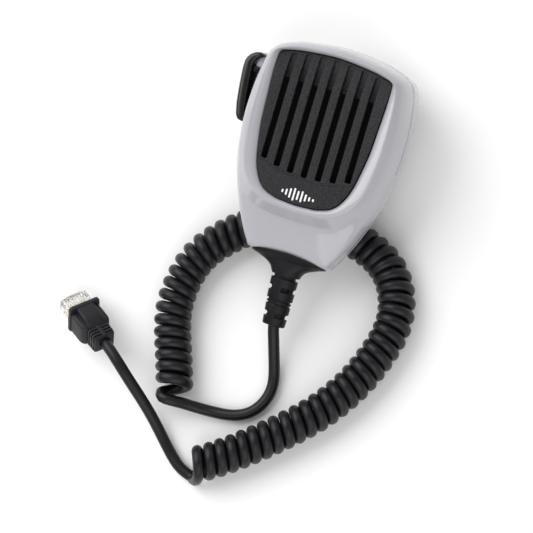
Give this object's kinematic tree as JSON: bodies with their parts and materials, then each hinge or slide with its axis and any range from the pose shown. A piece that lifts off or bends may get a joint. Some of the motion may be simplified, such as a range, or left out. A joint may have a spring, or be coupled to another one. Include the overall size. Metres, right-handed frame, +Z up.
{
  "type": "hand microphone",
  "caption": "Hand microphone with a slotted grille, a side push-to-talk lever, a hang-up button on its back and a curly cord that ends in a hooded modular plug.",
  "frame": {"origin": "centre of the hang-up button's end face, on which the back of the microphone rests", "axes": "+Y toward the top of the microphone (the grille end), +X to the right seen from the front, +Z up out of the face"},
  "size_m": [0.1403, 0.1808, 0.0474],
  "materials": {
    "shell": "moulded light grey ABS, semi-gloss",
    "grille": "black, fine spark-eroded texture",
    "screen": "black woven dust screen",
    "lever": "polished black",
    "boot": "satin black rubber",
    "cord": "satin black polyurethane jacket",
    "hood": "matte black rubber",
    "clear": "clear polycarbonate",
    "gold": "gold-plated contact",
    "steel": "plain or plated steel",
    "board": "green solder resist",
    "connector": "natural nylon",
    "switch": "black switch housing",
    "wire": "wire bundle",
    "rubber_part": "soft black rubber"
  },
  "bodies": {
    "microphone": {"front_housing": "shell", "rear_housing": "shell", "housing_screw_1": "steel", "housing_screw_2": "steel", "housing_screw_3": "steel", "housing_screw_4": "steel", "grille": "grille", "dust_screen": "screen", "mic_capsule": "steel", "capsule_cushion": "rubber_part", "circuit_board": "board", "board_screw_1": "steel", "board_screw_2": "steel", "wire_connector": "connector", "internal_leads": "wire", "cord_clamp": "steel", "cord_clamp_screw_1": "steel", "cord_clamp_screw_2": "steel", "ptt_pivot_pin": "steel", "ptt_return_spring": "steel", "ptt_switch_body": "switch", "hang_button_head": "steel", "hang_button_spacer": "steel", "hang_button_screw": "steel", "cord_boot": "boot", "lead_mic_end": "cord", "coil": "cord", "lead_plug_end": "cord", "plug_hood": "hood", "plug_body": "clear", "plug_contact_1": "gold", "plug_contact_2": "gold", "plug_contact_3": "gold", "plug_contact_4": "gold", "plug_contact_5": "gold", "plug_contact_6": "gold", "plug_contact_7": "gold", "plug_contact_8": "gold"},
    "ptt_lever": {"ptt_lever": "lever"},
    "ptt_plunger": {"ptt_switch_plunger": "connector"},
    "plug_latch": {"plug_latch": "clear"}
  },
  "joints": [
    {"name": "ptt_press", "type": "hinge", "parent": "microphone", "child": "ptt_lever", "pos_m": [-0.0272, -0.00626, 0.02787], "axis": [0, 0.1305, -0.9914], "range_deg": [0, 4], "stiffness_Nm_per_rad": 0.25},
    {"name": "ptt_plunger_slide", "type": "slide", "parent": "microphone", "child": "ptt_plunger", "axis": [1, 0, 0], "range_m": [0, 0.0012]},
    {"name": "latch_press", "type": "hinge", "parent": "microphone", "child": "plug_latch", "pos_m": [-0.0833, -0.09506, 0.00979], "axis": [0.5692, 0.6179, -0.5424], "range_deg": [0, 4.5], "stiffness_Nm_per_rad": 0.05}
  ],
  "couplings": [
    {"joint": "ptt_plunger_slide", "follows": "ptt_press", "m_per_rad": 0.016}
  ]
}
